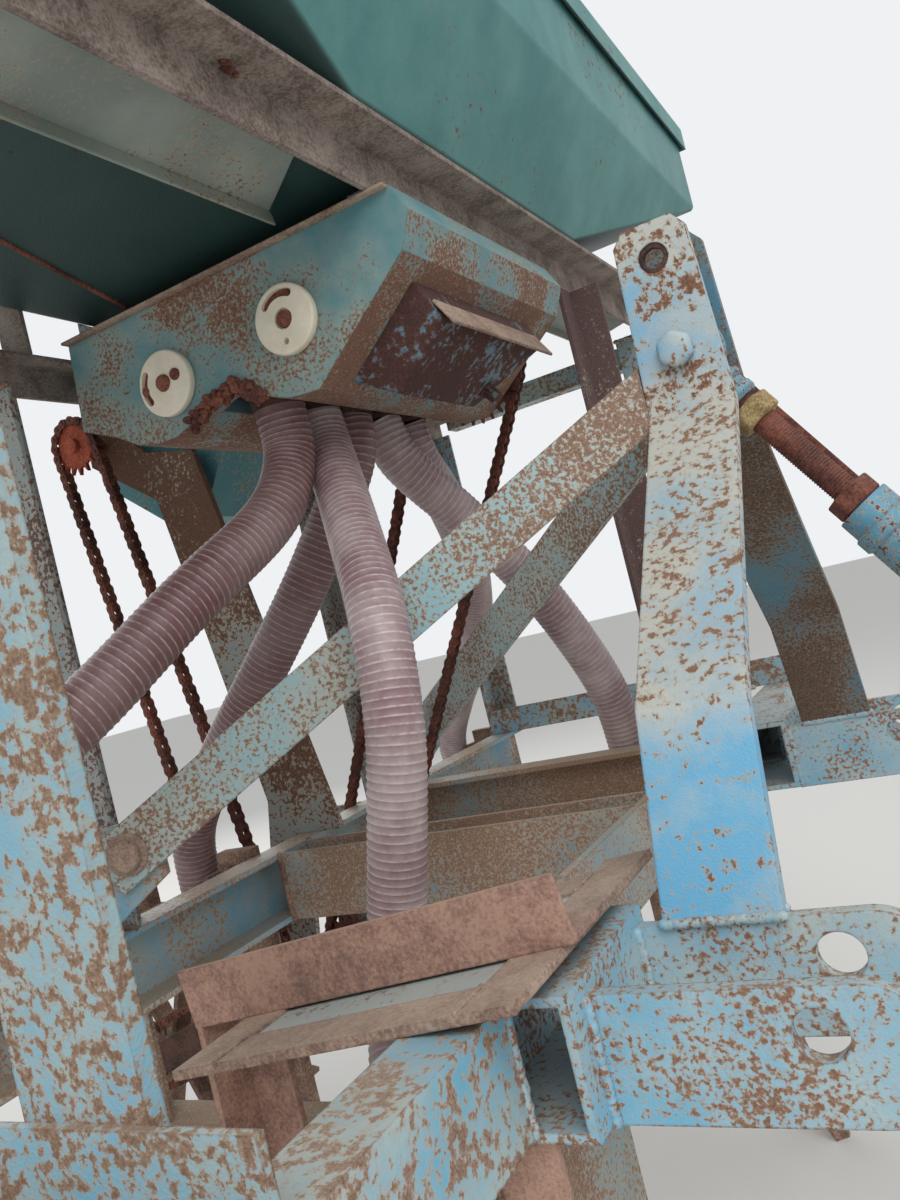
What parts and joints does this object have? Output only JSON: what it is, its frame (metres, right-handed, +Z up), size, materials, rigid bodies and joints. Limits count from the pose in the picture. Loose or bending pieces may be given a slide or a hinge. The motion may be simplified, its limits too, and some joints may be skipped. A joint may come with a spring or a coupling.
{
  "type": "tractor-mounted seed drill",
  "caption": "Three-point seed drill with a sheet hopper, metering unit, chain drives, seed hoses, tines, ground wheel, top link and folding lid, worn and rusted.",
  "frame": {"origin": "the middle of the lower hitch axis, which runs through the holes of the four clevis plates", "axes": "+X forward to the tractor, +Y to the machine's left, +Z up"},
  "size_m": [1.5318, 1.4, 1.365],
  "materials": {
    "paint_blue": "satin",
    "paint_teal": "satin",
    "rusty_steel": "matte",
    "dark_chain": "matte",
    "red_iron": "matte",
    "nylon": "matte",
    "hose_plastic": "matte"
  },
  "bodies": {
    "frame": {"rear_channel": "paint_blue", "centre_member": "rusty_steel", "side_member_left": "rusty_steel", "side_member_right": "rusty_steel", "end_frame_right": "paint_blue", "end_frame_left": "paint_blue", "posts": "rusty_steel", "upper_front_beam": "rusty_steel", "upper_rear_beam": "rusty_steel", "hitch_right": "paint_blue", "hitch_left": "paint_blue", "mast_bar_right": "paint_blue", "mast_bar_left": "rusty_steel", "mast_bolts": "rusty_steel", "brace_right": "paint_blue", "brace_left": "paint_blue", "step": "paint_blue", "stand": "rusty_steel", "front_tubes": "paint_blue", "metering_housing": "paint_teal", "seed_outlets": "rusty_steel", "bearing_discs": "nylon", "drive_upright": "rusty_steel", "feed_box": "paint_teal", "chain_metering": "dark_chain", "chain_feed": "dark_chain", "hose_1": "hose_plastic", "hose_2": "hose_plastic", "hose_3": "hose_plastic", "hose_4": "hose_plastic", "hose_5": "hose_plastic", "tine_1": "rusty_steel", "tine_2": "rusty_steel", "tine_3": "rusty_steel", "tine_4": "rusty_steel", "tine_5": "rusty_steel", "hopper": "paint_teal"},
    "lid": {"hopper_lid": "paint_teal"},
    "metering_rotor_body": {"metering_rotor": "red_iron"},
    "feed_rotor_body": {"feed_rotor": "red_iron"},
    "countershaft_body": {"countershaft": "red_iron"},
    "wheel_arm_body": {"wheel_arm": "rusty_steel", "chain_wheel": "dark_chain"},
    "wheel_body": {"ground_wheel": "rusty_steel"},
    "top_link_body": {"top_link": "rusty_steel"}
  },
  "joints": [
    {"name": "lid_hinge", "type": "hinge", "parent": "frame", "child": "lid", "pos_m": [-0.83, 0, 0.877], "axis": [0, -1, 0], "range_deg": [0, 100]},
    {"name": "wheel_arm_pivot", "type": "hinge", "parent": "frame", "child": "wheel_arm_body", "pos_m": [-0.719, 0, -0.15], "axis": [0, 1, 0], "range_deg": [-8, 22]},
    {"name": "wheel_spin", "type": "hinge", "parent": "wheel_arm_body", "child": "wheel_body", "pos_m": [-1.024, 0, -0.255], "axis": [0, 1, 0], "continuous": true},
    {"name": "countershaft_spin", "type": "hinge", "parent": "frame", "child": "countershaft_body", "pos_m": [-0.719, 0, -0.15], "axis": [0, 1, 0], "continuous": true},
    {"name": "metering_spin", "type": "hinge", "parent": "frame", "child": "metering_rotor_body", "pos_m": [-0.35, 0, 0.529], "axis": [0, 1, 0], "continuous": true},
    {"name": "feed_spin", "type": "hinge", "parent": "frame", "child": "feed_rotor_body", "pos_m": [-0.83, 0, 0.57], "axis": [0, 1, 0], "continuous": true},
    {"name": "top_link_swing", "type": "hinge", "parent": "frame", "child": "top_link_body", "pos_m": [-0.064, 0, 0.42], "axis": [0, 1, 0], "range_deg": [-75, 0]}
  ],
  "couplings": [
    {"joint": "countershaft_spin", "follows": "wheel_spin", "ratio": 1},
    {"joint": "metering_spin", "follows": "wheel_spin", "ratio": 0.625},
    {"joint": "feed_spin", "follows": "wheel_spin", "ratio": 1.25}
  ]
}
